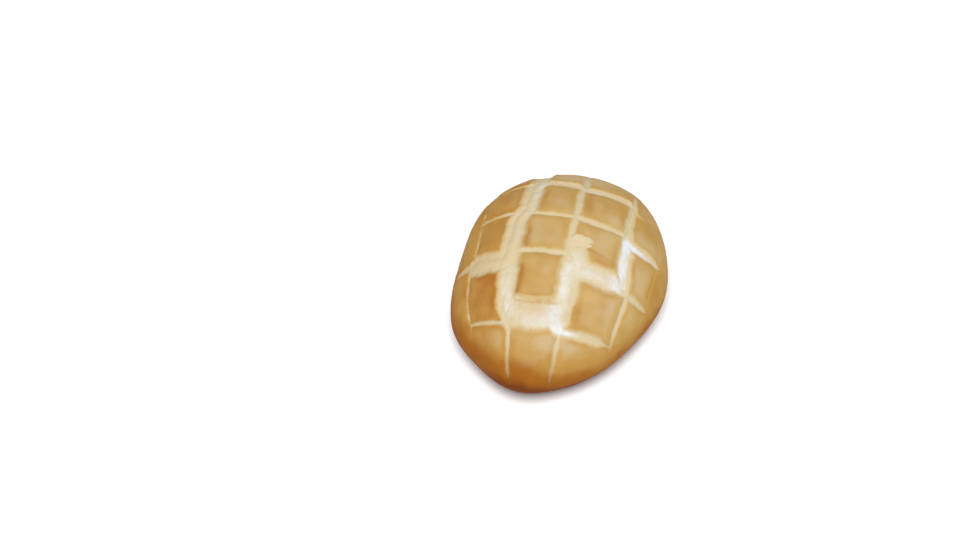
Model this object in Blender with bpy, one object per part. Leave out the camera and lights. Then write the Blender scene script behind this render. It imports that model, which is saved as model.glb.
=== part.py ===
"""Turtle bread roll: an oval bun with a lattice of scores across its crust.

The scores part in the oven, so that the crust browns in square tiles, like the plates of
a turtle's shell, with pale gaps between them. Where the crust tore, a gap is broad.

Blender 4.5, metres, +Z up. The bun stands on its flat base at z = 0. Its length is along
Y and its width along X, and the origin is under the middle of its length and width.
"""

import math
from collections import namedtuple

import bmesh
import bpy
import numpy as np

MM = 0.001

# The bun without its scores: half an ellipsoid above the waist, its widest level, and a
# lower one below it that is cut off by the flat base.
LENGTH = 125 * MM
WIDTH = 101.5 * MM
WAIST_HEIGHT = 21.5 * MM
CROWN_HEIGHT = 40.5 * MM  # the top of the bun above its waist
TUCK_DEPTH = 28.5 * MM  # how far the lower ellipsoid would reach, without the flat base
EGG = 0.08  # share by which the back end is broader than the middle, and the front narrower
WAIST_MIDDLE = np.array([0, 0.55 * MM, WAIST_HEIGHT])  # centres the uneven plan
LATTICE_TURN = math.radians(15)  # the lattice lies turned on the bun, seen from above

# Nor is the plan a perfect oval: each wave goes a number of times round it, and its share of
# the radius is highest at an angle.
PlanWave = namedtuple("PlanWave", "count share highest")
PLAN_WAVES = (
    PlanWave(2, 0.007, math.radians(49)),
    PlanWave(3, 0.007, math.radians(47)),
    PlanWave(5, 0.013, math.radians(2)),
    PlanWave(6, 0.005, math.radians(-12)),
    PlanWave(7, 0.009, math.radians(14)),
)

# The bun isn't perfectly even: each swell is a height, a wave along X, Y and Z in turns
# per bun length, and a phase.
Swell = namedtuple("Swell", "height wave phase")
SWELLS = (
    Swell(0.45 * MM, (0.9, 0.7, 0.5), 0.6),
    Swell(0.35 * MM, (-1.5, 1.1, 0.8), 2.1),
    Swell(0.25 * MM, (1.2, 2.1, -1.4), 4.0),
)

# The lattice lies in a flat chart of the crust. A chart point's distance from the chart's
# centre is measured along the crust from the crown. +Y in the chart is the bun's back.
# A score has one middle and one gap width for each stretch between two crossings, and a
# reach, beyond which it fades out.
Score = namedtuple("Score", "middles gaps reach")
LENGTHWISE = (  # stretches from front to back, middles across the chart, in millimetres
    Score((-64, -64, -64, -63, -62), (1.4, 1.4, 1.6, 1.6, 1.4), (-40, 34)),
    Score((-41.5, -43.2, -43, -42, -41), (2.0, 2.4, 2.4, 2.2, 2.0), (-64, 50)),
    Score((-15.8, -20.3, -21.3, -16.1, -14.4), (3.4, 10, 11, 9.6, 9.8), (-79, 66)),
    Score((10.3, 10, 6.5, 7.0, 8.4), (3.6, 12, 4.2, 4.2, 4.6), (-80, 66)),
    Score((41.4, 40.2, 33.5, 33.2, 33.8), (2.6, 3.6, 7.8, 5.2, 3.4), (-53, 52)),
    Score((57, 55, 52.2, 53, 54), (1.2, 1.4, 1.6, 1.4, 1.4), (-34, 26)),
)
CROSSWISE = (  # stretches from left to right, middles along the chart, in millimetres
    Score((-48.4, -48.2, -42, -48.9, -49), (2.0, 3.0, 15, 5.6, 3.0), (-48, 46)),
    Score((-16, -16.2, -10.3, -17.9, -20.8), (4.6, 11.6, 3.8, 11.6, 4.4), (-60, 58)),
    Score((13, 12.5, 12, 11.1, 6.2), (2.0, 2.8, 3.2, 4.2, 6.6), (-60, 56)),
    Score((36, 37, 38.2, 36.4, 31), (2.4, 3.6, 6.6, 5.8, 2.4), (-50, 42)),
    Score((59, 59, 59, 58.5, 57), (1.4, 1.6, 2.0, 2.0, 1.6), (-36, 34)),
)
ROW_CROSSINGS = (-46, -16, 11, 36.5)  # where the crosswise scores cut the lengthwise ones
COLUMN_CROSSINGS = (-43, -19, 7.5, 34.5)  # and the other way round
ROW_EASE = 14  # mm over which a lengthwise score eases from one stretch to the next
COLUMN_EASE = 6
FADE = 9  # mm over which a score fades out at the ends of its reach
FADED_GAP = 0.7  # share of its width that a faded gap keeps
POINTED_GAP = 2.2  # mm, the most that a faded gap keeps, so that broad gaps end in a point
POINT_LENGTH = 18  # mm over which a gap narrows to its end
POINT_PAST = 0.25  # share of that length that lies beyond the reach

# The relief of a score, in millimetres. It depends on how far a point lies inside the gap.
SCORE_DEPTH = 0.75  # reached at the foot of the wall
WALL = 1.1  # breadth of a broad gap's side wall, at most WALL_SHARE of the gap
WALL_SHARE = 0.34
TORN_DEPTH = 0.35  # more where the dough has torn
TORN_START = 1.1  # how far inside a gap's edge the torn dough starts
TORN_REACH = 1.5  # over how much further it sinks
CRUMB_RISE = 0.55  # how far the crumb of a broad gap swells again in the middle
RISE_START = 2.0
RISE_REACH = 4.0
SHOULDER = 0.55  # how far a tile's edge rolls down to the gap
SHOULDER_REACH = 2.6
FINEST_GAP = 0.9  # a score with this gap keeps only the finest share of the depth
FINEST_SHARE = 0.3
DEEPENING = 1.6  # how much broader a gap is that has the whole depth

# A shred of torn crust folded over the corner of one tile
SHRED_CENTRE = (12.0, -4.5)
SHRED_HALF_SIZE = (5.4, 4.4)
SHRED_HEIGHT = 0.9

# How finely the crust is divided
CHART_EDGE = 94  # mm, past the waist on every side
TILE_CELLS = 6
FLOOR_CELLS = 2
BARE_CELLS = 8  # cells from the outermost score to the chart's edge
RIM_TURN = math.radians(100)  # the lattice mesh ends under the waist
RIM_FADE = math.radians(5)  # over which the relief fades out there
RIM_POINTS = 96  # corners of the chart's outline before the lattice divides it
TUCK_POINTS = 96
TUCK_RINGS = 7
RIM_MERGE = 0.6 * MM  # points on the rim that are closer than this become one
SHORTEST_EDGE = 0.2 * MM  # shorter ones are closed up


def ease(share):
    """0 below 0, 1 above 1, and a smooth step between them."""
    share = np.clip(share, 0, 1)
    return share * share * (3 - 2 * share)


# ---------------------------------------------------------------- the bare bun


def plan_share(around):
    """The plan's radius as a share of the oval's, at an angle around it."""
    waves = [wave.share * np.cos(wave.count * (around - wave.highest)) for wave in PLAN_WAVES]
    return 1 + sum(waves)


def bun_point(around, turn):
    """The bun's surface, at an angle around the plan and a turn from the crown down."""
    reach = np.sin(turn) * plan_share(around)
    x = WIDTH / 2 * reach * np.cos(around) * (1 + EGG * np.sin(turn) * np.sin(around))
    y = LENGTH / 2 * reach * np.sin(around)
    z = np.where(turn < math.pi / 2, CROWN_HEIGHT, TUCK_DEPTH) * np.cos(turn)
    return np.stack([x, y, z], axis=-1) + WAIST_MIDDLE


def bun_normal(points):
    """The outward direction of the ellipsoid that each point lies on."""
    above = points - WAIST_MIDDLE
    height = np.where(above[:, 2] > 0, CROWN_HEIGHT, TUCK_DEPTH)
    slope = above / np.stack(
        [np.full_like(height, WIDTH / 2), np.full_like(height, LENGTH / 2), height], 1
    ) ** 2
    return slope / np.linalg.norm(slope, axis=1, keepdims=True)


def swell_height(points):
    """Sum of the swells, fading to nothing at the flat base."""
    total = np.zeros(len(points))
    for swell in SWELLS:
        waves = points @ np.array(swell.wave) * (math.tau / LENGTH)
        total += swell.height * np.sin(waves + swell.phase)
    return total * ease(points[:, 2] / WAIST_HEIGHT)


def crown_distances():
    """(turns, distance along the crust from the crown, in mm) for a bun of mean radius."""
    turns = np.linspace(0, RIM_TURN * 1.1, 400)
    radius = (WIDTH + LENGTH) / 4 * np.sin(turns)
    height = np.where(turns < math.pi / 2, CROWN_HEIGHT, TUCK_DEPTH) * np.cos(turns)
    steps = np.hypot(np.diff(radius), np.diff(height))
    return turns, np.concatenate([[0], np.cumsum(steps)]) / MM


def chart_to_bun(x, y):
    """(around, turn) on the bun of a point of the chart, in millimetres."""
    turns, distances = crown_distances()
    cos, sin = math.cos(LATTICE_TURN), math.sin(LATTICE_TURN)
    across = (x * cos - y * sin) * (WIDTH + LENGTH) / (2 * WIDTH)
    along = (x * sin + y * cos) * (WIDTH + LENGTH) / (2 * LENGTH)
    return np.arctan2(along, across), np.interp(np.hypot(across, along), distances, turns)


def bun_to_chart(around, turn):
    """The chart point, in millimetres, of a place on the bun."""
    turns, distances = crown_distances()
    distance = np.interp(turn, turns, distances)
    across = distance * np.cos(around) * 2 * WIDTH / (WIDTH + LENGTH)
    along = distance * np.sin(around) * 2 * LENGTH / (WIDTH + LENGTH)
    cos, sin = math.cos(LATTICE_TURN), math.sin(LATTICE_TURN)
    return across * cos + along * sin, along * cos - across * sin


# ---------------------------------------------------------------- the lattice of scores


def by_stretch(values, crossings, ease_length, along):
    """One value for each stretch, easing into the next one where the scores cross."""
    result = np.full_like(along, values[0])
    for crossing, before, after in zip(crossings, values, values[1:]):
        result += (after - before) * ease((along - crossing) / ease_length + 0.5)
    return result


def score_lines(score, crossings, ease_length, along):
    """(middle, gap, presence) of a score at places along it. Presence fades to 0."""
    first, last = score.reach
    presence = ease((along - first) / FADE + 0.5) * ease((last - along) / FADE + 0.5)
    middle = by_stretch(score.middles, crossings, ease_length, along)
    gap = by_stretch(score.gaps, crossings, ease_length, along)
    faded = np.minimum(FADED_GAP * gap, POINTED_GAP)
    ends = [(along - first) / POINT_LENGTH, (last - along) / POINT_LENGTH]
    full = ease(ends[0] + POINT_PAST) * ease(ends[1] + POINT_PAST)
    return middle, faded + (gap - faded) * full, presence


def wall_width(gap):
    """Breadth of each side wall of a gap."""
    return np.minimum(WALL, WALL_SHARE * gap)


def score_depth(inside, gap):
    """Depth of the crust at a distance inside a gap's edge, negative on the tile beside it."""
    sunk = SCORE_DEPTH * ease(inside / wall_width(gap))
    torn = TORN_DEPTH * ease((inside - TORN_START) / TORN_REACH)
    rolled = SHOULDER * np.exp(np.minimum(inside, 0) / SHOULDER_REACH)
    share = FINEST_SHARE + (1 - FINEST_SHARE) * ease((gap - FINEST_GAP) / DEEPENING)
    return (sunk + torn + rolled) * share


def crust_relief(x, y):
    """Height of the crust over the bare bun, in millimetres, at points of the chart. Where
    scores cross, the deeper one counts, and the crumb swells by what lies furthest inside."""
    lines = [
        (x, score_lines(score, ROW_CROSSINGS, ROW_EASE, y)) for score in LENGTHWISE
    ] + [(y, score_lines(score, COLUMN_CROSSINGS, COLUMN_EASE, x)) for score in CROSSWISE]
    depth = np.zeros_like(x)
    furthest = np.zeros_like(x)
    for place, (middle, gap, presence) in lines:
        inside = gap / 2 - np.abs(place - middle)
        depth = np.maximum(depth, presence * score_depth(inside, gap))
        furthest = np.maximum(furthest, presence * inside)
    swollen = CRUMB_RISE * ease((furthest - RISE_START) / RISE_REACH)
    (across, along), (half_width, half_length) = SHRED_CENTRE, SHRED_HALF_SIZE
    from_shred = np.hypot((x - across) / half_width, (y - along) / half_length)
    return swollen - depth + SHRED_HEIGHT * ease(1.4 * (1 - from_shred))


# ---------------------------------------------------------------- the crust's mesh
# The mesh is cut along the scores themselves. It is made on a grid where every line that
# matters, such as a gap's edge or the foot of its wall, is a straight line with a whole
# number, and is then carried to the chart and onto the bun.


def line_places(scores, crossings, ease_length, along):
    """Chart places of the numbered lines, at places along them: one row for each line."""
    lines = [np.full_like(along, -CHART_EDGE)]
    for score in scores:
        middle, gap, _ = score_lines(score, crossings, ease_length, along)
        wall = wall_width(gap)
        lines += [middle - gap / 2, middle - gap / 2 + wall]
        lines += [middle + gap / 2 - wall, middle + gap / 2]
    lines.append(np.full_like(along, CHART_EDGE))
    return np.array(lines)


def columns_at(y):
    return line_places(LENGTHWISE, ROW_CROSSINGS, ROW_EASE, y)


def rows_at(x):
    return line_places(CROSSWISE, COLUMN_CROSSINGS, COLUMN_EASE, x)


def number_of(place, lines):
    """The number, with its fraction, of the line that goes through each place."""
    number = np.zeros_like(place)
    for low, high in zip(lines, lines[1:]):
        number += np.clip((place - low) / (high - low), 0, 1)
    return number


def place_of(number, lines):
    """The place on the chart of each line number, the opposite of number_of."""
    whole = np.clip(number.astype(int), 0, len(lines) - 2)
    every = np.arange(len(number))
    low, high = lines[whole, every], lines[whole + 1, every]
    return low + (high - low) * (number - whole)


def grid_to_chart(column, row):
    """Where a column line and a row line cross on the chart. Each bends a little with the
    other, so their crossing is found in a few rounds."""
    x, y = np.zeros_like(column), np.zeros_like(row)
    for _ in range(30):
        x, y = place_of(column, columns_at(y)), place_of(row, rows_at(x))
    return x, y


def grid_cuts(score_count):
    """The line numbers at which the mesh is divided, for a family of scores."""
    spans = [BARE_CELLS]
    for _ in range(score_count):
        spans += [1, FLOOR_CELLS, 1, TILE_CELLS]
    spans[-1] = BARE_CELLS
    cuts = [start + np.arange(cells) / cells for start, cells in enumerate(spans)]
    return np.concatenate(cuts)[1:]


def divided_chart():
    """A flat face with the chart's outline, in line numbers, cut along every line."""
    bm = bmesh.new()
    around = np.linspace(0, math.tau, RIM_POINTS, endpoint=False)
    x, y = bun_to_chart(around, np.full_like(around, RIM_TURN))
    corners = zip(number_of(x, columns_at(y)), number_of(y, rows_at(x)))
    bm.faces.new([bm.verts.new((column, row, 0)) for column, row in corners])
    families = ((len(LENGTHWISE), (1, 0, 0)), (len(CROSSWISE), (0, 1, 0)))
    for count, direction in families:
        for cut in grid_cuts(count):
            bmesh.ops.bisect_plane(
                bm,
                geom=bm.verts[:] + bm.edges[:] + bm.faces[:],
                dist=1e-6,
                plane_co=[cut * axis for axis in direction],
                plane_no=direction,
            )
    return bm


def lift_onto_bun(bm):
    """Carries the divided chart onto the bun and sinks its scores."""
    grid = np.array([vert.co[:2] for vert in bm.verts])
    x, y = grid_to_chart(grid[:, 0], grid[:, 1])
    around, turn = chart_to_bun(x, y)
    on_rim = np.array([vert.is_boundary for vert in bm.verts])
    turn = np.where(on_rim, RIM_TURN, np.minimum(turn, RIM_TURN))
    points = bun_point(around, turn)
    height = crust_relief(x, y) * MM * ease((RIM_TURN - turn) / RIM_FADE)
    points += bun_normal(points) * (height + swell_height(points))[:, None]
    for vert, point in zip(bm.verts, points):
        vert.co = point


def add_tuck(bm):
    """Closes the bun under its waist, ring by ring down to the flat base."""
    floor_turn = math.acos(-WAIST_HEIGHT / TUCK_DEPTH)
    around = np.linspace(0, math.tau, TUCK_POINTS, endpoint=False)
    rim = [edge for edge in bm.edges if edge.is_boundary]
    rings = []
    for turn in np.linspace(RIM_TURN, floor_turn, TUCK_RINGS + 1)[1:]:
        points = bun_point(around, np.full_like(around, turn))
        points += bun_normal(points) * swell_height(points)[:, None]
        rings.append([bm.verts.new(point) for point in points])
    loops = [rim]
    for ring in rings:
        loops.append([bm.edges.new(pair) for pair in zip(ring, ring[1:] + ring[:1])])
    for upper, lower in zip(loops, loops[1:]):
        bmesh.ops.bridge_loops(bm, edges=upper + lower)
    for vert in rings[-1]:
        vert.co.z = 0
    bm.faces.new(rings[-1])


def make_roll():
    """The whole roll as one closed solid."""
    bm = divided_chart()
    lift_onto_bun(bm)
    rim = [vert for vert in bm.verts if vert.is_boundary]
    bmesh.ops.remove_doubles(bm, verts=rim, dist=RIM_MERGE)
    add_tuck(bm)
    bmesh.ops.triangulate(bm, faces=bm.faces[:])
    bmesh.ops.dissolve_degenerate(bm, dist=SHORTEST_EDGE, edges=bm.edges[:])
    bmesh.ops.triangulate(bm, faces=bm.faces[:])
    bmesh.ops.recalc_face_normals(bm, faces=bm.faces[:])
    mesh = bpy.data.meshes.new("turtle_roll")
    bm.to_mesh(mesh)
    bm.free()
    mesh.shade_smooth()
    mesh.set_sharp_from_angle(angle=math.radians(50))
    return mesh


def crust_material():
    """Golden brown crust, satin from its thin skin."""
    material = bpy.data.materials.new("golden_crust")
    material.use_nodes = True
    shader = material.node_tree.nodes["Principled BSDF"]
    shader.inputs["Base Color"].default_value = (0.61, 0.39, 0.16, 1)
    shader.inputs["Roughness"].default_value = 0.55
    shader.inputs["Metallic"].default_value = 0.0
    return material


for leftover in list(bpy.data.objects):
    bpy.data.objects.remove(leftover)

roll = bpy.data.objects.new("turtle_roll", make_roll())
roll.data.materials.append(crust_material())
bpy.context.scene.collection.objects.link(roll)
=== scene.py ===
# %% [markdown]
# # A turtle bread roll
# This lesson dresses the plain solid of a scored bread roll. Before it bakes, the dough is
# pressed or cut with a lattice of lines. In the oven the crust browns in square tiles, like
# the plates of a turtle's shell, and the lines part. Some part so far that the dough tears,
# and pale crumb shows between the tiles.
#
# The plain solid already has the dome, the lattice and the broad gaps. What it lacks is all
# that makes bread look baked: wavering edges, torn crumb, a floury skin and its colours.

import itertools
import math
from collections import namedtuple

import bpy
import numpy as np
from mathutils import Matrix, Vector


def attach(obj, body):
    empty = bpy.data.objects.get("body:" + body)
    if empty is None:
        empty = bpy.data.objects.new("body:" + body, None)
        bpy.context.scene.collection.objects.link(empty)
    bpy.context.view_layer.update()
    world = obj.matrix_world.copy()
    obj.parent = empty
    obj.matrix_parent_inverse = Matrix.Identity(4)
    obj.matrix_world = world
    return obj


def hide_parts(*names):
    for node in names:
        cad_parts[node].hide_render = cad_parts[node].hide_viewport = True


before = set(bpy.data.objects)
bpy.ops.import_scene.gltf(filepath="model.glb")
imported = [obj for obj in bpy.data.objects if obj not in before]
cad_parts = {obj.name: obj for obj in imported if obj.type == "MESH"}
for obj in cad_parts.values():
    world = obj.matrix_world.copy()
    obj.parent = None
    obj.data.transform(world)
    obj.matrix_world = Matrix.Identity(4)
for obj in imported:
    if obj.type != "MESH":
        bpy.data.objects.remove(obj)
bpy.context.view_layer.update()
MM = 0.001


# %% [markdown]
# ## The bun without its scores
# A proved ball of dough spreads into an oval dome. Its widest level, the waist, lies a
# third of the way up, and below it the crust tucks in to a flat base. Half an ellipsoid
# makes the dome and a part of a second one makes the tuck. One end of the oval is a little
# broader than the other, like an egg, and slow waves round the plan keep it from being
# perfect. A point is named by two angles: how far around the plan it lies, and how far it is
# turned from the crown down to the base.

# %% The bun's measures
LENGTH = 125 * MM
WIDTH = 101.5 * MM
WAIST_HEIGHT = 21.5 * MM
CROWN_HEIGHT = 40.5 * MM  # the top of the bun above its waist
TUCK_DEPTH = 28.5 * MM  # how far the lower ellipsoid would reach, without the flat base
WAIST_MIDDLE = np.array([0, 0.55 * MM, WAIST_HEIGHT])  # centres the uneven plan
EGG = 0.08  # share by which the far end is broader, and the near end narrower
FLOOR_TURN = math.acos(-WAIST_HEIGHT / TUCK_DEPTH)  # the turn at which the tuck meets the base

# Waves round the plan: how many, their share of the radius, and where they are highest.
PlanWave = namedtuple("PlanWave", "count share highest")
PLAN_WAVES = (
    PlanWave(2, 0.007, math.radians(49)),
    PlanWave(3, 0.007, math.radians(47)),
    PlanWave(5, 0.013, math.radians(2)),
    PlanWave(6, 0.005, math.radians(-12)),
    PlanWave(7, 0.009, math.radians(14)),
)
print("base turn, in degrees:", round(math.degrees(FLOOR_TURN), 1))


# %% The bun's surface
def ease(share):
    """0 below 0, 1 above 1, and between them 3 share squared minus 2 share cubed."""
    share = np.clip(share, 0, 1)
    return share * share * (3 - 2 * share)


def plan_share(around):
    """One plus a cosine for each of the plan's waves."""
    waves = [wave.share * np.cos(wave.count * (around - wave.highest)) for wave in PLAN_WAVES]
    return 1 + sum(waves)


def bun_point(around, turn):
    """An ellipsoid: the plan radius goes with the sine of the turn from the crown, and the
    height with its cosine. The egg share widens the far end and narrows the near one."""
    reach = np.sin(turn) * plan_share(around)
    x = WIDTH / 2 * reach * np.cos(around) * (1 + EGG * np.sin(turn) * np.sin(around))
    y = LENGTH / 2 * reach * np.sin(around)
    z = np.where(turn < math.pi / 2, CROWN_HEIGHT, TUCK_DEPTH) * np.cos(turn)
    return np.stack([x, y, z], axis=-1) + WAIST_MIDDLE


def bun_normal(points):
    """Each coordinate from the middle of the waist, divided by that half axis squared."""
    above = points - WAIST_MIDDLE
    height = np.where(above[:, 2] > 0, CROWN_HEIGHT, TUCK_DEPTH)
    half_axes = [np.full_like(height, WIDTH / 2), np.full_like(height, LENGTH / 2), height]
    slope = above / np.stack(half_axes, axis=1) ** 2
    return slope / np.linalg.norm(slope, axis=1, keepdims=True)


crown = bun_point(np.zeros(1), np.zeros(1))
print("crown, in mm:", (crown / MM).round(1).tolist())

# %% [markdown]
# ## A flat chart of the crust
# The lattice is easiest to lay out on flat paper. So the crust is unrolled into a chart: the
# distance of a chart point from the middle is measured along the crust from the crown. The
# lattice lies turned on the bun, so the chart is turned too. In the chart, x runs across the
# roll and y along it, in millimetres.

# %% From chart to bun
LATTICE_TURN = math.radians(15)
MEAN_SIZE = (WIDTH + LENGTH) / 2
CHART_STEPS = 600  # how many places from the crown to the base are measured


def crust_distances():
    """The turns from the crown to the base and the distance along the crust to each, in mm:
    short steps along a bun of mean radius, added up."""
    turns = np.linspace(0, FLOOR_TURN, CHART_STEPS)
    radius = MEAN_SIZE / 2 * np.sin(turns)
    height = np.where(turns < math.pi / 2, CROWN_HEIGHT, TUCK_DEPTH) * np.cos(turns)
    steps = np.hypot(np.diff(radius), np.diff(height))
    return turns, np.concatenate([[0], np.cumsum(steps)]) / MM


TURNS, DISTANCES = crust_distances()
BASE_DISTANCE = DISTANCES[-1]


def chart_to_round(x, y):
    """Turns the chart to the bun and scales it, so that the oval base edge is a circle."""
    cos, sin = math.cos(LATTICE_TURN), math.sin(LATTICE_TURN)
    return (x * cos - y * sin) * MEAN_SIZE / WIDTH, (x * sin + y * cos) * MEAN_SIZE / LENGTH


def round_to_chart(across, along):
    """The opposite of chart_to_round."""
    cos, sin = math.cos(LATTICE_TURN), math.sin(LATTICE_TURN)
    across, along = across * WIDTH / MEAN_SIZE, along * LENGTH / MEAN_SIZE
    return across * cos + along * sin, along * cos - across * sin


print("from the crown to the base edge, in mm:", round(BASE_DISTANCE, 1))

# %% [markdown]
# ## The lattice of scores
# Six scores run along the roll and five run across it. Dough doesn't part evenly, so each
# score has one middle and one gap width for each stretch between two crossings, and eases
# from one to the next. At the ends of its reach, where the blade lifted off the curving
# flank, its gap narrows to a point and the score fades out.

# %% The scores
Score = namedtuple("Score", "middles gaps reach")
Family = namedtuple("Family", "scores crossings ease_length")
LENGTHWISE = Family(
    (
        Score((-64, -64, -64, -63, -62), (1.4, 1.4, 1.6, 1.6, 1.4), (-40, 34)),
        Score((-41.5, -43.2, -43, -42, -41), (2.0, 2.4, 2.4, 2.2, 2.0), (-64, 50)),
        Score((-15.8, -20.3, -21.3, -16.1, -14.4), (3.4, 10, 11, 9.6, 9.8), (-79, 66)),
        Score((10.3, 10, 6.5, 7.0, 8.4), (3.6, 12, 4.2, 4.2, 4.6), (-80, 66)),
        Score((41.4, 40.2, 33.5, 33.2, 33.8), (2.6, 3.6, 7.8, 5.2, 3.4), (-53, 52)),
        Score((57, 55, 52.2, 53, 54), (1.2, 1.4, 1.6, 1.4, 1.4), (-34, 26)),
    ),
    (-46, -16, 11, 36.5),
    14,
)
CROSSWISE = Family(
    (
        Score((-48.4, -48.2, -42, -48.9, -49), (2.0, 3.0, 15, 5.6, 3.0), (-48, 46)),
        Score((-16, -16.2, -10.3, -17.9, -20.8), (4.6, 11.6, 3.8, 11.6, 4.4), (-60, 58)),
        Score((13, 12.5, 12, 11.1, 6.2), (2.0, 2.8, 3.2, 4.2, 6.6), (-60, 56)),
        Score((36, 37, 38.2, 36.4, 31), (2.4, 3.6, 6.6, 5.8, 2.4), (-50, 42)),
        Score((59, 59, 59, 58.5, 57), (1.4, 1.6, 2.0, 2.0, 1.6), (-36, 34)),
    ),
    (-43, -19, 7.5, 34.5),
    6,
)
FADE = 9  # mm over which a score fades out at the ends of its reach
FADED_GAP = 0.7  # share of its width that a faded gap keeps
POINTED_GAP = 2.2  # mm, the most that a faded gap keeps, so that broad gaps end in a point
POINT_LENGTH = 18  # mm over which a gap narrows to its end
POINT_PAST = 0.25  # share of that length that lies beyond the reach
print("scores:", len(LENGTHWISE.scores), "along and", len(CROSSWISE.scores), "across")


# %% Edges of a score
def by_stretch(values, crossings, ease_length, along):
    """The value of the stretch that a place along the score lies in, eased at crossings."""
    result = np.full_like(along, values[0])
    for crossing, before, after in zip(crossings, values, values[1:]):
        result += (after - before) * ease((along - crossing) / ease_length + 0.5)
    return result


WAVER_LENGTHS = (21.0, 12.3, 7.1, 4.3, 2.6)  # mm
WAVER_SHARES = (0.35, 0.36, 0.28, 0.20, 0.15)
WAVER_STEP = 2.1  # radians, plus a wave's length, that it starts later for the next edge


def waver(along, number):
    """A sum of sine waves whose lengths have no common measure, so that it never repeats.
    Each is started elsewhere for each edge."""
    waves = zip(WAVER_LENGTHS, WAVER_SHARES)
    return sum(
        share * np.sin(math.tau * along / length + number * (WAVER_STEP + length))
        for length, share in waves
    )


EVEN_SWING = 0.10  # mm that the edges of the finest score waver
SWING_PER_GAP = 0.05  # and more for each millimetre of gap
FAMILY_STEP = 20  # gives the two families' edges different numbers
WALL = 1.1  # mm, breadth of a broad gap's side wall
WALL_SHARE = 0.34  # the most of a narrow gap that each side wall takes


def score_edges(family, number, along, ease_length=None):
    """(left edge, right edge, presence) of a score. The edges lie half a gap either side of
    the middle and waver more where the gap is broad. Near the ends of the reach the gap
    eases to its faded width. Presence is 1, and fades to 0 at the ends."""
    score = family.scores[number]
    first, last = score.reach
    presence = ease((along - first) / FADE + 0.5) * ease((last - along) / FADE + 0.5)
    ease_length = ease_length or family.ease_length
    middle = by_stretch(score.middles, family.crossings, ease_length, along)
    gap = by_stretch(score.gaps, family.crossings, ease_length, along)
    faded = np.minimum(FADED_GAP * gap, POINTED_GAP)
    ends = [(along - first) / POINT_LENGTH, (last - along) / POINT_LENGTH]
    gap = faded + (gap - faded) * ease(ends[0] + POINT_PAST) * ease(ends[1] + POINT_PAST)
    swing = EVEN_SWING + SWING_PER_GAP * gap
    key = 2 * number + FAMILY_STEP * family.ease_length
    left = middle - gap / 2 + swing * waver(along, key)
    right = middle + gap / 2 + swing * waver(along, key + 1)
    return left, right, presence


def wall_width(gap):
    """Breadth of each side wall of a gap, about a third of a narrow gap."""
    return np.minimum(WALL, WALL_SHARE * gap)


left_edge, right_edge, _ = score_edges(LENGTHWISE, 2, np.linspace(-40, -20, 50))
print("a torn gap, in mm:", round(float((right_edge - left_edge).mean()), 1))

# %% [markdown]
# ## A grid that follows the scores
# A square grid of points would cut across the scores at random and leave their edges
# jagged. So the grid's own lines are made to run along the edges. Every edge and every foot
# of a gap's wall gets a whole number, and the grid is laid out in those numbers: a few cells
# in each wall, more on the floors and the tiles. The grid's outer part is then drawn in to
# the round base edge.

# %% Lines of the grid
CHART_EDGE = 94.0  # mm, half the side of the square that the grid fills at first
TILE_CELLS = 32
CROWDING = 0.55  # how much the cells crowd towards the edges of scores and tiles
WALL_CELLS = 3
LENGTHWISE_FLOORS = (3, 4, 16, 16, 10, 3)  # cells on each score's floor
CROSSWISE_FLOORS = (20, 16, 8, 8, 3)
BARE_CELLS = {"left": 24, "right": 24, "front": 40, "back": 28}  # outside the lattice


def stretch_cells(first, floors, last):
    """How many cells lie between each numbered line and the next."""
    cells = [first]
    for floor in floors:
        cells += [WALL_CELLS, floor, WALL_CELLS, TILE_CELLS]
    cells[-1] = last
    return cells


def line_numbers(cells):
    """The number, with its fraction, of each of the grid's lines. The even share less a sine
    of it makes the cells small near whole numbers, where the edges are."""
    shares = [np.arange(count) / count for count in cells]
    crowded = [share - CROWDING * np.sin(math.tau * share) / math.tau for share in shares]
    return np.concatenate([start + part for start, part in enumerate(crowded)] + [[len(cells)]])


columns = line_numbers(stretch_cells(BARE_CELLS["left"], LENGTHWISE_FLOORS, BARE_CELLS["right"]))
rows = line_numbers(stretch_cells(BARE_CELLS["front"], CROSSWISE_FLOORS, BARE_CELLS["back"]))
print("grid:", len(columns), "by", len(rows), "points")


# %% Places of the grid's points
GRID_ROUNDS = 45
GRID_STEP = 0.3
LENGTHWISE_EASE = 20  # mm over which the grid's lines follow a score's change of stretch
CROSSWISE_EASE = 16


def line_places(family, ease_length, along):
    """Where the numbered lines lie, at places along them: one row for each line. They change
    stretch more slowly than the edges, because cells fold where both families run steep."""
    lines = [np.full_like(along, -CHART_EDGE)]
    for number in range(len(family.scores)):
        left, right, _ = score_edges(family, number, along, ease_length)
        wall = wall_width(right - left)
        lines += [left, left + wall, right - wall, right]
    return np.array(lines + [np.full_like(along, CHART_EDGE)])


def place_of(number, lines):
    """Between two numbered lines, the place is in proportion to the number's fraction."""
    whole = np.clip(number.astype(int), 0, len(lines) - 2)
    every = np.arange(len(number))
    low, high = lines[whole, every], lines[whole + 1, every]
    return low + (high - low) * (number - whole)


def lattice_grid():
    """The chart places of the grid's points. The lines of one family bend with the place
    along the other, so both places move a share of the way to each other's result, over and
    over, until they agree."""
    column_of, row_of = [numbers.ravel() for numbers in np.meshgrid(columns, rows)]
    x, y = np.zeros_like(column_of), np.zeros_like(row_of)
    for _ in range(GRID_ROUNDS):
        along = line_places(LENGTHWISE, LENGTHWISE_EASE, y)
        across = line_places(CROSSWISE, CROSSWISE_EASE, x)
        x = x + GRID_STEP * (place_of(column_of, along) - x)
        y = y + GRID_STEP * (place_of(row_of, across) - y)
    return x, y


# %% [markdown]
# ## Slanted cells
# Where a score jogs sideways at a crossing, the grid's lines run steep there and squeeze its
# cells aslant. Light breaks up on such thin faces, so the grid is smoothed near them and
# nowhere else: its points move towards the middle of their neighbours.

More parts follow.
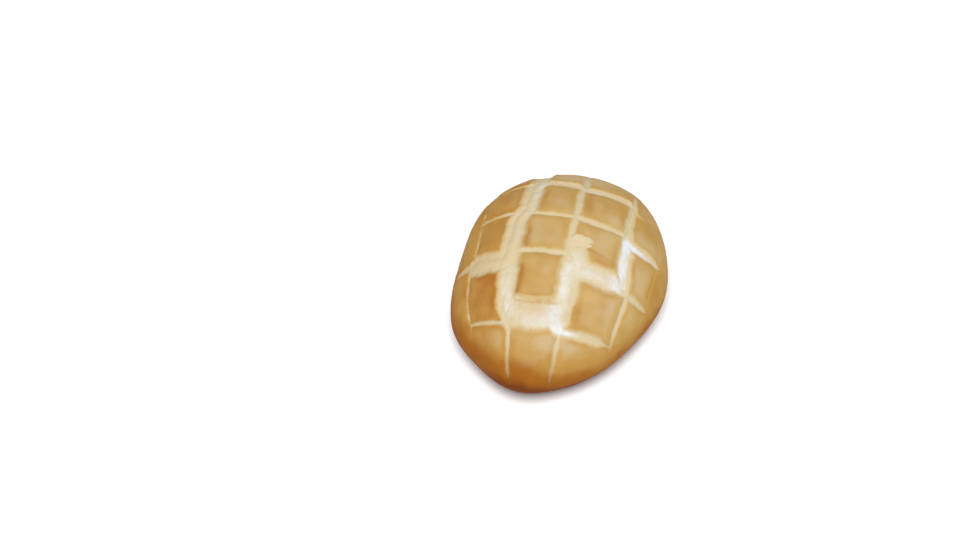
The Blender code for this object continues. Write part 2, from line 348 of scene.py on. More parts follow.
# %% Smoothing slanted cells
RELAX_ROUNDS = 12
SLANTED = 0.6  # the sine of the angle between two sides of a cell, below which it is slanted
SLANT_EASE = 0.25  # how far below that it counts in full
NEAR_CELLS = 3  # how many cells around a slanted one are smoothed too


def cell_sines(x, y):
    """The sine of the angle at the first corner of each cell."""
    right_x, right_y = x[:-1, 1:] - x[:-1, :-1], y[:-1, 1:] - y[:-1, :-1]
    up_x, up_y = x[1:, :-1] - x[:-1, :-1], y[1:, :-1] - y[:-1, :-1]
    return (right_x * up_y - right_y * up_x) / np.hypot(right_x, right_y) / np.hypot(up_x, up_y)


def spread(values):
    """Each value's greatest neighbour in the sheet, or itself."""
    turned = [np.roll(values, step, axis) for step in (-1, 1) for axis in (0, 1)]
    return np.maximum.reduce([values, *turned])


def relaxed(x, y):
    """Near slanted cells, each point moves towards the mean of its four neighbours."""
    for _ in range(RELAX_ROUNDS):
        share = np.pad(ease((SLANTED - cell_sines(x, y)) / SLANT_EASE), ((0, 1), (0, 1)))
        for _ in range(NEAR_CELLS):
            share = spread(share)
        for places in (x, y):
            inner = places[1:-1, 1:-1]
            beside = places[1:-1, :-2] + places[1:-1, 2:] + places[:-2, 1:-1] + places[2:, 1:-1]
            inner += share[1:-1, 1:-1] * (beside / 4 - inner)
    return x, y


sheet_shape = (len(rows), len(columns))
grid_x, grid_y = relaxed(*[places.reshape(sheet_shape) for places in lattice_grid()])
print("smallest sine of a cell:", round(float(cell_sines(grid_x, grid_y).min()), 2))
grid_x, grid_y = grid_x.ravel(), grid_y.ravel()

# %% The grid drawn in to the base edge
DRAWN_IN = 58.0  # mm from the crown, where the grid starts to be drawn in to the base edge


def draw_in(x, y):
    """Moves the points beyond DRAWN_IN along their rays, so that the square's edge lands on
    the base edge: the distance grows by the square of the share of the way out."""
    across, along = chart_to_round(x, y)
    distance = np.hypot(across, along)
    edge_scale = CHART_EDGE / np.maximum(np.maximum(np.abs(x), np.abs(y)), 1e-9)
    edge = distance * edge_scale
    share = np.clip((distance - DRAWN_IN) / (edge - DRAWN_IN), 0, 1)
    drawn = distance + (BASE_DISTANCE - edge) * share**2
    scale = drawn / np.maximum(distance, 1e-9)
    return across * scale, along * scale


Place = namedtuple("Place", "x y turn bare outward")


def place_on_bun(x, y):
    """All that later steps need of chart points: their turn from the crown, their points on
    the bare bun and the outward directions there."""
    across, along = chart_to_round(x, y)
    turn = np.interp(np.hypot(across, along), DISTANCES, TURNS)
    bare = bun_point(np.arctan2(along, across), turn)
    return Place(x, y, turn, bare, bun_normal(bare))


grid = place_on_bun(*round_to_chart(*draw_in(grid_x, grid_y)))
print("grid points:", len(grid.x))

# %% [markdown]
# ## Unevenness
# Nothing baked is even. Random numbers on the corners of small cubes, eased between the
# corners, give a smooth unevenness with bumps of one size. Three sizes on top of each other
# look like dough. The numbers are drawn from a fixed start, so each run gives the same roll.
# All of the roll's unevenness comes from them, and each kind of bump starts elsewhere.

# %% Random bumps
RANDOM_START = 11
RANDOM_SIDE = 64
LAYER_SHIFT = 31  # how many bumps further on the next layer starts
random_numbers = np.random.default_rng(RANDOM_START).uniform(-1, 1, (RANDOM_SIDE,) * 3)
# A kind of bump: its height about a middle, where it starts, its size in mm, and its layers.
Bumps = namedtuple("Bumps", "middle height start size layers")


def bumps(points, size):
    """Random numbers at the corners of cubes of a size, eased between the eight corners."""
    place = points / size
    cell = np.floor(place).astype(int)
    share = ease(place - cell)
    total = np.zeros(len(points))
    for corner in itertools.product((0, 1), repeat=3):
        near = np.where(corner, share, 1 - share).prod(axis=1)
        total += near * random_numbers[tuple(((cell + corner) % RANDOM_SIDE).T)]
    return total


def layered_bumps(points, size, layers=3):
    """Bumps of a size, plus half as high ones of half the size, and so on."""
    return sum(
        bumps(points + LAYER_SHIFT * size * n, size / 2**n) / 2**n for n in range(layers)
    )


def bumps_on(place, kind):
    """The middle, plus the height times layered bumps at the points of the bare bun."""
    points = place.bare / MM + kind.start
    return kind.middle + kind.height * layered_bumps(points, kind.size, kind.layers)


print("bump spread:", round(float(bumps_on(grid, Bumps(0, 1, 0, 2.0, 3)).std()), 2))

# %% [markdown]
# ## Relief of the scores
# How deep a point of a score lies depends on how far inside the gap's edge it is. The crust
# rolls down over the last few millimetres of the tile, drops at the edge, and sinks a little
# more where the dough has torn. In the middle of a broad gap the crumb has swollen up again.
# Where two scores cross, the deeper one counts.

# %% Depth of a score
SCORE_DEPTH = 0.75  # mm, reached at the foot of the wall
TORN_DEPTH = 0.35  # more where the dough has torn
TORN_START = 1.1  # mm inside a gap's edge
TORN_REACH = 1.5
CRUMB_RISE = 0.55  # how far the crumb of a broad gap swells again in the middle
RISE_START = 2.0
RISE_REACH = 4.0
SHOULDER = 0.55  # how far a tile's edge rolls down to the gap
SHOULDER_REACH = 2.6
FINEST_GAP = 0.9  # a score with this gap keeps only the finest share of the depth
FINEST_SHARE = 0.3
DEEPENING = 1.6  # how much broader a gap is that has the whole depth


def score_depth(inside, gap):
    """Depth eased over the wall, plus more eased over the torn dough, plus the shoulder,
    which fades with the distance from the edge like exp(-distance). The finest scores are
    shallower."""
    sunk = SCORE_DEPTH * ease(inside / wall_width(gap))
    torn = TORN_DEPTH * ease((inside - TORN_START) / TORN_REACH)
    rolled = SHOULDER * np.exp(np.minimum(inside, 0) / SHOULDER_REACH)
    share = FINEST_SHARE + (1 - FINEST_SHARE) * ease((gap - FINEST_GAP) / DEEPENING)
    return (sunk + torn + rolled) * share


def upper_of(first, second, rounding):
    """The higher of two values, rounded off where they are nearly equal."""
    close = np.maximum(rounding - np.abs(first - second), 0) / rounding
    return np.maximum(first, second) + close**2 * rounding / 4


probe = np.array([-3.0, 0.0, 1.1, 2.5])
print("depths of a torn gap, in mm:", score_depth(probe, 10.0).round(2).tolist())

# %% [markdown]
# ## Where the crumb shows
# In three places the dough tore on beyond its scores. Such a tear is a thick line on the
# chart, with wavering edges. One pass over the scores and the tears gives both the depth and
# the pale crumb. The colour turns softly at a torn edge, over a few millimetres, and more
# sharply at a fine score. A fine or fading score is hardly paler than the crust beside it.

# %% Tears beside the scores
Tear = namedtuple("Tear", "start end half_width")
TEARS = (
    Tear((9.0, -4.5), (12.5, -13.0), 5.0),  # a tile's corner that tore away
    Tear((34.0, -6.0), (36.7, -17.5), 3.7),  # a gap that widened into the next crossing
    Tear((5.6, -37.5), (8.6, -46.0), 3.8),  # two gaps that ran together
)
TEAR_GAP = 7.0  # mm that count as the gap of a tear
TEAR_WAVERS = ((0.4, 3), (0.3, 4))  # mm that a tear's edges swing, and the waver's number


def line_distance(x, y, line):
    """Distance from chart points to the line from a start to an end."""
    start, step = np.array(line.start), np.subtract(line.end, line.start)
    past = ((x - start[0]) * step[0] + (y - start[1]) * step[1]) / (step @ step)
    share = np.clip(past, 0, 1)
    return np.hypot(x - start[0] - share * step[0], y - start[1] - share * step[1])


def inside_tear(x, y, tear):
    """How far inside a tear's edge: its half width less the distance from its line, plus two
    wavers that run slantwise over the chart."""
    slants = zip(((x + y) / 2, x - y), TEAR_WAVERS)
    swings = sum(swing * waver(slant, number) for slant, (swing, number) in slants)
    return tear.half_width - line_distance(x, y, tear) + swings


print("tears:", len(TEARS))


# %% How pale a place is
FINE_GAP = 3.0  # mm, the gap of a fine score
FINE_THINNER = 0.35  # mm that a fine score looks narrower than it is, and a torn one wider
THINNER_EASE = 4.0  # mm of gap over which the one turns into the other
PALE_GAP = 1.3  # mm of gap from which crumb shows
PALE_EASE = 1.7
SOFT_EDGE = 0.8  # mm, half the breadth of a fine score's border
SOFT_PER_GAP = 0.25
SOFTEST_EDGE = 2.6
SOFT_MIDDLE, SOFT_SWING = 0.85, 0.55  # shares by which a border is sharper here, softer there
SOFT_PACE = 1.7  # how much quicker that changes than an edge wavers
SOFT_NUMBER = 9  # the number of its waver


def pale_share(inside, gap, along):
    """Eased over the border, which is soft in some places and sharp in others; nothing for
    the finest scores."""
    soft = np.clip(SOFT_EDGE + SOFT_PER_GAP * (gap - FINE_GAP), SOFT_EDGE, SOFTEST_EDGE)
    soft = soft * (SOFT_MIDDLE + SOFT_SWING * waver(SOFT_PACE * along, SOFT_NUMBER))
    thinner = FINE_THINNER * (1 - 2 * ease((gap - FINE_GAP) / THINNER_EASE))
    return ease((gap - PALE_GAP) / PALE_EASE) * ease(((inside - thinner) / soft + 1) / 2)


borders = pale_share(np.zeros(3), np.array([1.4, 3.0, 10.0]), np.zeros(3))
print("pale share on the edges of a hair, a fine and a torn gap:", borders.round(2).tolist())


# %% All scores together
EDGE_ROUNDING = 1.6  # mm that the corners of the tiles are rounded
DEPTH_ROUNDING = 0.15  # mm that the depth is rounded off where two scores meet
TEAR_ROUNDING = 0.3  # and where a tear meets a score
FADE_AWAY = 3.0  # mm that a faded score counts as further away
FAR_OUTSIDE = -30.0  # mm inside a gap, for a place that is near no gap
TORN_GAP = 4.5  # mm of gap from which its dough counts as torn
TORN_EASE = 3.0
TORN_MARGIN = 1.5  # mm from a gap's edge, over which its dough turns torn
BORDER_STEP = 30  # keeps the borders of two scores from being soft at the same places
Lattice = namedtuple("Lattice", "depth inside pale torn_along torn_across beside_torn")


def lattice_at(x, y):
    """For chart points: the scores' depth, how far they lie inside a gap, the share of pale
    crumb, the torn share of the gaps that run along the roll and across it, and how near
    they lie to a torn gap's edge. Where scores meet, the greatest value counts."""
    depth, pale, beside = np.zeros_like(x), np.zeros_like(x), np.zeros_like(x)
    furthest = np.full_like(x, FAR_OUTSIDE)
    torn = [np.zeros_like(x), np.zeros_like(x)]
    for direction, family in enumerate((LENGTHWISE, CROSSWISE)):
        across, along = ((x, y), (y, x))[direction]
        for number in range(len(family.scores)):
            left, right, presence = score_edges(family, number, along)
            gap = right - left
            inside = np.minimum(across - left, right - across)
            depth = upper_of(depth, presence**2 * score_depth(inside, gap), DEPTH_ROUNDING)
            counted = inside - (1 - presence) * FADE_AWAY
            furthest = upper_of(furthest, counted, EDGE_ROUNDING)
            shown = presence * pale_share(counted, gap, along + BORDER_STEP * across)
            pale = np.maximum(pale, shown)
            torn_share = presence * ease((gap - TORN_GAP) / TORN_EASE)
            torn[direction] = np.maximum(torn[direction], torn_share * ease(inside / TORN_MARGIN))
            near = np.exp(-np.abs(inside + TORN_MARGIN) / TORN_MARGIN)
            beside = np.maximum(beside, torn_share * near)
    for tear in TEARS:
        inside = inside_tear(x, y, tear)
        depth = upper_of(depth, score_depth(inside, TEAR_GAP), TEAR_ROUNDING)
        furthest = upper_of(furthest, inside, EDGE_ROUNDING)
        pale = np.maximum(pale, pale_share(inside, TEAR_GAP, x + y))
        torn[1] = np.maximum(torn[1], ease(inside / TORN_MARGIN))
    swollen = CRUMB_RISE * ease((furthest - RISE_START) / RISE_REACH)
    return Lattice(depth - swollen, furthest, pale, *torn, beside)


grid_lattice = lattice_at(grid.x, grid.y)
print("deepest, in mm:", round(float(grid_lattice.depth.max()), 2))
print("pale share of the crust:", round(float((grid_lattice.pale > 0.5).mean()), 2))

# %% [markdown]
# ## Torn crumb
# Where the skin tore, the dough below was drawn out into short fibres across the gap, with
# soft lumps and a few open pores between them. The fibres lie in the direction in which the
# gap opened.

# %% Fibres, lumps and pores
FIBRE_LENGTH = 5.0  # mm
FIBRE_WIDTH = 1.2
FIBRE_HEIGHT = 0.12
FIBRE_KEYS = (5.5, 9.5)  # for the gaps that run along the roll, and across it
BENDS = Bumps(0, 2.0, 900, 6.0, 1)  # mm that the fibres lie to one side or the other
LUMPS = Bumps(0, 0.20, 0, 3.6, 3)
PORES = Bumps(-0.25, 1, 77, 1.5, 1)  # open where these bumps stand above 0
PORE_EASE = 0.6
PORE_DEPTH = 0.20


def fibres(across, along, key):
    """Bumps stretched across the gap, in the direction in which it opened, plus half as high
    ones of half the size. Each key gives other fibres."""
    places = np.stack([across / FIBRE_LENGTH, along / FIBRE_WIDTH, key + 0 * across], axis=1)
    return bumps(places, 1.0) + 0.5 * bumps(2 * places, 1.0)


def torn_relief(place, lattice):
    """Fibres along both directions of tearing, plus lumps and less pores on all torn dough."""
    bent = bumps_on(place, BENDS)
    drawn_out = lattice.torn_along * fibres(place.x, place.y + bent, FIBRE_KEYS[0])
    drawn_out += lattice.torn_across * fibres(place.y, place.x + bent, FIBRE_KEYS[1])
    torn = np.maximum(lattice.torn_along, lattice.torn_across)
    pores = ease(bumps_on(place, PORES) / PORE_EASE)
    return FIBRE_HEIGHT * drawn_out + torn * (bumps_on(place, LUMPS) - PORE_DEPTH * pores)


torn_heights = torn_relief(grid, grid_lattice)
print("torn relief, in mm:", round(float(np.ptp(torn_heights)), 2), "from lowest to highest")

# %% [markdown]
# ## The skin of the tiles
# The crust itself isn't smooth either. It has broad soft dents from shaping, a fine orange
# peel, and here and there a blister where a bubble rose under the skin.

# %% Dents, peel and blisters
DENTS = Bumps(0, 0.32, 0, 14.0, 1)
PEEL = Bumps(0, 0.05, 0, 2.6, 3)
BLISTERS = Bumps(-0.55, 1, 140, 3.1, 1)  # raised where these bumps stand above 0
BLISTER_EASE = 0.3
BLISTER_HEIGHT = 0.10
SKIN_MARGIN = 1.5  # mm from a gap's edge, over which the skin's relief ends
LIP_HEIGHT = 0.30  # how far the skin lifts where it tore
LIP_PLACE = 0.8  # mm outside the edge
LIP_BREADTH = 0.8
LIP_PATCHES = Bumps(0.5, 1.2, 240, 6.0, 1)  # where the lip is there, and where it is missing
Swell = namedtuple("Swell", "height wave phase")
SWELLS = (
    Swell(0.45 * MM, (0.9, 0.7, 0.5), 0.6),
    Swell(0.35 * MM, (-1.5, 1.1, 0.8), 2.1),
    Swell(0.25 * MM, (1.2, 2.1, -1.4), 4.0),
)


def swell_height(points):
    """The same three waves that make the plain solid uneven. They fade out at the base."""
    total = np.zeros(len(points))
    for swell in SWELLS:
        waves = points @ np.array(swell.wave) * (math.tau / LENGTH)
        total += swell.height * np.sin(waves + swell.phase)
    return total * ease(points[:, 2] / WAIST_HEIGHT)


def skin_relief(place, lattice):
    """Dents, peel and blisters, which all end at a gap's edge, plus a lip beside torn gaps,
    highest just outside the edge and missing here and there."""
    raised = BLISTER_HEIGHT * ease(bumps_on(place, BLISTERS) / BLISTER_EASE)
    uneven = bumps_on(place, DENTS) + bumps_on(place, PEEL) + raised
    from_lip = (lattice.inside + LIP_PLACE) / LIP_BREADTH
    lip = lattice.beside_torn * ease(bumps_on(place, LIP_PATCHES)) * np.exp(-(from_lip**2))
    return ease(-lattice.inside / SKIN_MARGIN) * uneven + LIP_HEIGHT * lip


print("skin relief, in mm:", round(float(np.ptp(skin_relief(grid, grid_lattice))), 2))

# %% [markdown]
# ## Folds, slivers and toasted edges
# Some places have a story of their own. One tile's edge folded over as its gap opened and
# left a crease, browned and darkened with painted shade. In the broadest gap a sliver of skin
# hangs on by one end. Raised edges met more heat and toasted darker. Each is a short line on
# the chart with a breadth, a height in mm, and a share of toasting and of pale crumb.

# %% Marks on the chart
Mark = namedtuple("Mark", "start end half_width height toast pale")
MARKS = (
    # The fold below the shred: a crease, darkened by browning and by painted shade, and the
    # browned edge that it turned up.
    Mark((15.8, -5.2), (20.5, -6.1), 0.7, -0.50, 0.40, -0.6),
    Mark((20.5, -6.1), (27.0, -7.4), 0.6, -0.35, 0.15, -0.3),
    Mark((17.5, -7.6), (26.0, -9.3), 2.2, 0.30, 0.12, -0.3),
    # In the broadest gap: a sliver of skin and the thin tear behind it.
    Mark((-14.0, -36.6), (7.0, -35.8), 0.8, 0.18, 0.30, -0.45),
    Mark((-15.0, -34.9), (3.0, -33.2), 0.7, -0.15, 0.0, 0.7),
    # A tile's corner that still stands up between two torn gaps.
    Mark((16.4, -36.5), (16.4, -41.5), 2.3, 0.35, 0.12, -0.9),
    # Toasted edges.
    Mark((-14.0, -20.0), (-14.0, -33.0), 1.8, 0.05, 0.55, -0.1),
    Mark((-13.3, -7.0), (-13.3, 1.0), 1.6, 0.05, 0.35, 0.0),
    Mark((-36.0, -24.0), (-27.0, -24.0), 1.5, 0.05, 0.4, 0.0),
    Mark((-27.0, -26.0), (-27.5, -44.0), 2.2, 0.05, 0.4, 0.0),
    Mark((12.5, 17.0), (12.0, 33.0), 1.5, 0.05, 0.3, 0.0),
)


def marks_at(x, y):
    """The marks' added height, toasting and pale share, each summed over all marks. They
    fall off a line like exp(-square of the distance in half widths)."""
    away = np.array([line_distance(x, y, mark) / mark.half_width for mark in MARKS])
    effects = np.array([(mark.height, mark.toast, mark.pale) for mark in MARKS])
    return effects.T @ np.exp(-(away**2))


print("marks:", len(MARKS))

# %% [markdown]
# ## Lift the chart onto the bun
# Each point moves out along the bun's normal by its relief. The relief fades out towards the
# base edge, so that the edge lies flat on the floor. It is a function of the chart, so small
# pieces can be laid on the same surface later.

# %% The crust's points
BASE_FADE = math.radians(14)  # above the base's edge, over which the relief fades out


def lifted(place, height):
    """Moves points of the bare bun outward by a height in mm, and by the slow swells."""
    fade_to_base = ease((FLOOR_TURN - place.turn) / BASE_FADE)
    outward = height * MM * fade_to_base + swell_height(place.bare)
    points = place.bare + place.outward * outward[:, None]
    points[:, 2] = np.maximum(points[:, 2], 0)
    return points


def crust_height(place, lattice):
    """All relief of the crust, in mm."""
    relief = torn_relief(place, lattice) + skin_relief(place, lattice) - lattice.depth
    return relief + marks_at(place.x, place.y)[0]


crust_points = lifted(grid, crust_height(grid, grid_lattice))
print("crust points:", len(crust_points))

# %% [markdown]
# ## The base
# A roll bakes on a flat tray, so its base is flat, and a touch hollow where steam lifted it.
# Rings of points shrink from the crust's edge to the middle and close the roll.

# %% Rings across the base
BASE_RINGS = 9
RING_CROWDING = 1.6  # how much the rings crowd towards the edge
BASE_HOLLOW = 0.4  # mm
HOLLOW_START = 0.25  # share of the way in, at which the base is fully hollow
BASE_GRAIN = 0.12  # mm of fine unevenness
BASE_GRAIN_SIZE = 4.0

row_length, row_count = len(columns), len(rows)
numbered = np.arange(row_length * row_count).reshape(row_count, row_length)
edge_loop = np.concatenate(
    [numbered[0, :-1], numbered[:-1, -1], numbered[-1, :0:-1], numbered[:0:-1, 0]]
)
ring_shares = 1 - (np.arange(1, BASE_RINGS + 1) / (BASE_RINGS + 1)) ** RING_CROWDING
base_points = (crust_points[edge_loop][None] * ring_shares[:, None, None]).reshape(-1, 3)
inward = np.repeat(1 - ring_shares, len(edge_loop))
base_height = BASE_HOLLOW + BASE_GRAIN * layered_bumps(base_points / MM, BASE_GRAIN_SIZE)
base_points[:, 2] = MM * np.maximum(base_height * ease(inward / HOLLOW_START), 0)
base_middle = [[0, 0, BASE_HOLLOW * MM]]
roll_points = np.concatenate([crust_points, base_points, base_middle])
print("base points:", len(base_points))


# %% Faces of the crust and the base
def strip_faces(first, second):
    """Quads between two closed loops of point numbers."""
    return np.stack([first, np.roll(first, -1), np.roll(second, -1), second], axis=1)


def sheet_faces(numbers):
    """Quads between the rows and columns of a sheet of point numbers."""
    corners = [numbers[:-1, :-1], numbers[:-1, 1:], numbers[1:, 1:], numbers[1:, :-1]]
    return np.stack([corner.ravel() for corner in corners], axis=1)


ring_numbers = len(crust_points) + np.arange(len(base_points)).reshape(BASE_RINGS, -1)
loops = [edge_loop, *ring_numbers]
base_quads = [strip_faces(second, first) for first, second in zip(loops, loops[1:])]
roll_quads = np.concatenate([sheet_faces(numbered), *base_quads])
last_ring = ring_numbers[-1]
middle_number = np.full_like(last_ring, len(roll_points) - 1)
fan = np.stack([np.roll(last_ring, -1), last_ring, middle_number], axis=1)
print("triangles:", 2 * len(roll_quads) + len(fan))

# %% [markdown]
# ## From arrays to a mesh
# Blender takes whole arrays of points and corners at once, which is quick for a hundred
# thousand of them. A mesh can also carry numbers of its own for each point. The material reads
# them, so that colours follow the scores as exactly as the shape does.

# %% Meshes and pieces
def mesh_from(name, points, *face_arrays):
    """A mesh from arrays of points and of faces with the same number of corners."""
    mesh = bpy.data.meshes.new(name)
    corners = np.concatenate([faces.ravel() for faces in face_arrays])
    sizes = np.concatenate([np.full(len(faces), faces.shape[1]) for faces in face_arrays])
    mesh.vertices.add(len(points))
    mesh.vertices.foreach_set("co", points.astype(np.float32).ravel())
    mesh.loops.add(len(corners))
    mesh.loops.foreach_set("vertex_index", corners.astype(np.int32))
    mesh.polygons.add(len(sizes))
    starts = np.concatenate([[0], np.cumsum(sizes)[:-1]])
    mesh.polygons.foreach_set("loop_start", starts.astype(np.int32))
    mesh.update(calc_edges=True)
    mesh.validate()
    mesh.shade_smooth()
    return mesh


def set_attribute(mesh, name, values):
    """One number for each point of the mesh, for the material to read."""
    attribute = mesh.attributes.new(name, "FLOAT", "POINT")
    attribute.data.foreach_set("value", values.astype(np.float32))


def add_piece(name, mesh, material):
    """An object at the origin that rides on the roll's body."""
    piece = bpy.data.objects.new(name, mesh)
    bpy.context.scene.collection.objects.link(piece)
    mesh.materials.append(material)
    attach(piece, "root")
    return piece


roll_mesh = mesh_from("roll_crust", roll_points, roll_quads, fan)
print("roll mesh:", len(roll_mesh.vertices), "points")

# %% [markdown]
# ## How dark each place has baked
# The crust grows darker on the flanks, where it faced the oven's walls, and towards the base;
# this darkening is partly browning and partly painted shade under the bulge. It is also darker
# where it baked longest, at the far end. The left side is darker than the right, partly from
# browning and partly as painted shade, as if a neighbouring roll stood there. A tile's middle
# keeps a bloom of flour dust, which also paints a soft sheen, and its edges, which stand up
# into the heat, toast to gold. The crumb dries less pale where it lies low on the roll, and is
# duller to the left as painted shade. Such rules make any roll, and a few soft oval spots of
# more and less make it this one; some of them paint light or shade.

# %% Spots on the chart, in mm
Spot = namedtuple("Spot", "x y half_width half_length amount")
BAKE_SPOTS = (
    Spot(24, 25, 7, 6, 0.08),
    Spot(43, 24, 8, 12, 0.12),
    Spot(-8, -28, 7, 7, 0.10),
    # Darker at the left: partly browning, partly painted shade.
    Spot(-33, -33, 9, 12, 0.14),
    Spot(27, -34, 10, 10, 0.06),
    # Darker low in front: partly browning, partly painted shade.
    Spot(-4, -86, 28, 8, 0.12),
    Spot(-12, -68, 16, 5, 0.10),
    Spot(46, 13, 10, 6, -0.26),
    Spot(45, -14, 7, 9, -0.14),
    Spot(56, -8, 5, 11, 0.24),
    # Paler at the far end: painted light where the softbox reaches less.
    Spot(2, 53, 22, 8, -0.34),
    Spot(25, 14, 5, 12, -0.18),
    Spot(38, 10, 5, 9, -0.14),
)
DUST_AND_SHEEN_SPOTS = (
    Spot(41, -10, 7, 11, 0.40),
    Spot(40, 12, 7, 8, 0.35),
    Spot(27, 14, 5, 10, 0.45),
    Spot(12, -56, 18, 7, 0.40),
    Spot(9, -53, 5, 5, 0.45),
    Spot(-26, -60, 10, 9, 0.25),
    Spot(4, -54, 16, 4, 0.40),
    # Paler at the far end: painted light where the softbox reaches less.
    Spot(8, 52, 12, 8, 0.80),
    Spot(18, -62, 7, 9, 0.35),
    Spot(30, 32, 9, 8, -0.35),
    Spot(14, 23, 5, 9, -0.25),
    Spot(43, 24, 6, 6, -0.30),
    Spot(36, -24, 6, 8, 0.45),
)
FLOUR_SPOTS = (
    Spot(4, -48, 14, 3, 0.35),
    Spot(-6, -43, 11, 4.5, 0.45),
    Spot(5.5, -43, 5, 5.5, 0.60),
    Spot(-17, -40, 5, 5, 0.30),
    Spot(3, -37, 9, 2.5, 0.25),
    Spot(14, -50, 8, 5, 0.65),
    Spot(-21, -30, 4.5, 14, 0.40),
    Spot(-15, 3, 4, 12, 0.20),
    Spot(-12, 32, 4, 16, 0.55),
    Spot(13, 37, 8, 3.5, 0.40),
    Spot(8, -28, 5, 11, 0.5),
    Spot(33, -8, 4, 9, 0.70),
    Spot(34.5, 6, 5, 8, 0.55),
    Spot(41, 5, 10, 4, 0.75),
    Spot(22, -18, 13, 4.5, 0.45),
    Spot(35, -20, 5, 7, 0.60),
    Spot(13, -11, 6, 6, 0.35),
)
DULL_SPOTS = (Spot(-2, -40, 14, 7, 0.30),)


def spots_at(place, spots):
    """The sum of oval spots, each falling like exp(-square of the distance)."""
    total = np.zeros_like(place.x)
    for spot in spots:
        across = (place.x - spot.x) / spot.half_width
        along = (place.y - spot.y) / spot.half_length
        total += spot.amount * np.exp(-(across**2) - along**2)
    return total


spot_lists = (BAKE_SPOTS, DUST_AND_SHEEN_SPOTS, FLOUR_SPOTS, DULL_SPOTS)
print("spots:", sum(len(spots) for spots in spot_lists))


# %% Browning
Rise = namedtuple("Rise", "amount start length")
BAKE_START = 0.24
# Darker to the left: partly browning, partly painted shade, as if a neighbouring roll stood
# there.
LEFT_BAKE_AND_SHADE = Rise(0.26, 6, 26)  # by the mm to the left
FAR_BAKE = Rise(0.06, 5, 30)  # by the mm to the far end
FLANK_TURN = 50  # degrees from the crown, at which the flank starts to brown
FLANK_MIDDLE = -8  # mm across, where it starts highest
SIDE_TURN = Rise(16, 0, 26)  # degrees lower, by the mm to either side of that
RIGHT_TURN = Rise(5, 24, 20)  # and by the mm to the right
# Darker down the flanks and towards the base: partly browning, partly painted shade.
FLANK_BAKES_AND_SHADE = (Rise(0.42, 0, 23), Rise(0.55, 18, 38))  # by the degrees below that start
BASE_BAKES_AND_SHADE = (Rise(0.07, 78, 12), Rise(0.42, 93, 22))  # by the degrees from the crown
BAKE_PATCHES = (Bumps(0, 0.07, 300, 20.0, 3), Bumps(0, 0.05, 350, 6.0, 3))


def rise(value, *steps):
    """The sum of the steps' amounts, each eased in over its length from its start."""
    return sum(step.amount * ease((value - step.start) / step.length) for step in steps)


def bake_at(place):
    """A start, plus shares to the left, to the far end, down the flanks in two steps and
    towards the base in two more, plus spots and bumps of two sizes."""
    down = np.degrees(place.turn)
    lower = rise(np.abs(place.x - FLANK_MIDDLE), SIDE_TURN) + rise(place.x, RIGHT_TURN)
    shares = (
        rise(-place.x, LEFT_BAKE_AND_SHADE),
        rise(place.y, FAR_BAKE),
        rise(down - (FLANK_TURN + lower), *FLANK_BAKES_AND_SHADE),
        rise(down, *BASE_BAKES_AND_SHADE),
        spots_at(place, BAKE_SPOTS),
        *(bumps_on(place, kind) for kind in BAKE_PATCHES),
    )
    return BAKE_START + sum(shares)


bake = bake_at(grid)
print("bake:", round(float(bake.min()), 2), "to", round(float(bake.max()), 2))


# %% Dust and toasted edges
# Dust is partly flour and partly a painted soft sheen on the tops of the tiles.
DUST_END = math.radians(80)  # turn from the crown, beyond which no dust lies
DUST_FADE = math.radians(22)
DUST_SHARE = 0.75
DUST_START = 0.5  # mm inside a gap, from which dust lies
DUST_EASE = 5.0
# Less dust and sheen to the left, which paints shade there.
LEFT_CLEAN_AND_SHADED = Rise(0.5, 18, 14)  # share without dust, by the mm to the left
DUST_PATCHES = Bumps(0.75, 0.35, 420, 8.0, 3)
TORN_TOAST = 0.20
FINE_TOAST = 0.06
TOAST_PLACE = 1.2  # mm outside a gap's edge
TOAST_BREADTH = 1.4
TOAST_PATCHES = Bumps(0.55, 0.6, 500, 9.0, 3)
MOST_TOAST = 1.2  # the most that a patch multiplies it by


def dust_and_sheen_at(place, lattice):
    """Dust, which also paints a soft sheen, eased from the tile's edge inwards, less on the
    flanks and to the left, plus a few dusty spots, which reach up to the tiles' edges."""
    on_top = ease((DUST_END - place.turn) / DUST_FADE)
    lying = DUST_SHARE * (1 - rise(-place.x, LEFT_CLEAN_AND_SHADED))
    dusty = lying * ease((DUST_START - lattice.inside) / DUST_EASE) + spots_at(place, DUST_AND_SHEEN_SPOTS)
    return on_top * bumps_on(place, DUST_PATCHES) * dusty


def toast_at(place, lattice):
    """Falls like exp(-distance) from a tile's edge, unevenly and mostly where the edge was
    torn, plus the marks' own toast."""
    patchy = np.clip(bumps_on(place, TOAST_PATCHES), 0, MOST_TOAST)
    fine = FINE_TOAST * np.exp(-np.abs(lattice.inside + TOAST_PLACE) / TOAST_BREADTH)
    edges = (TORN_TOAST * lattice.beside_torn + fine) * patchy
    return edges + marks_at(place.x, place.y)[1]


toast = toast_at(grid, grid_lattice)
print("most toasted:", round(float(toast.max()), 2))


# %% Flour and the crumb's strength
FLOUR_LYING = Rise(1, 0.3, 2.6)  # by the mm inside a gap
FLOUR_PATCHES = Bumps(1, 0.3, 200, 5.0, 3)
FRONT_DULL = Rise(0.45, 50, 18)  # less, by the mm to the front
FRONT_LOW = Rise(1, math.radians(50), 0.3)  # by the turn from the crown, in radians
# Crumb duller to the left: painted shade.
LEFT_CRUMB_SHADE = Rise(0.20, 22, 14)  # less, by the mm to the left
FLANK_DULL = Rise(0.5, math.radians(66), math.radians(18))  # less, by the turn


def flour_at(place, lattice):
    """Flour in the middle of the gaps, most at a few spots."""
    lying = rise(lattice.inside, FLOUR_LYING) * bumps_on(place, FLOUR_PATCHES)
    return lying * spots_at(place, FLOUR_SPOTS)


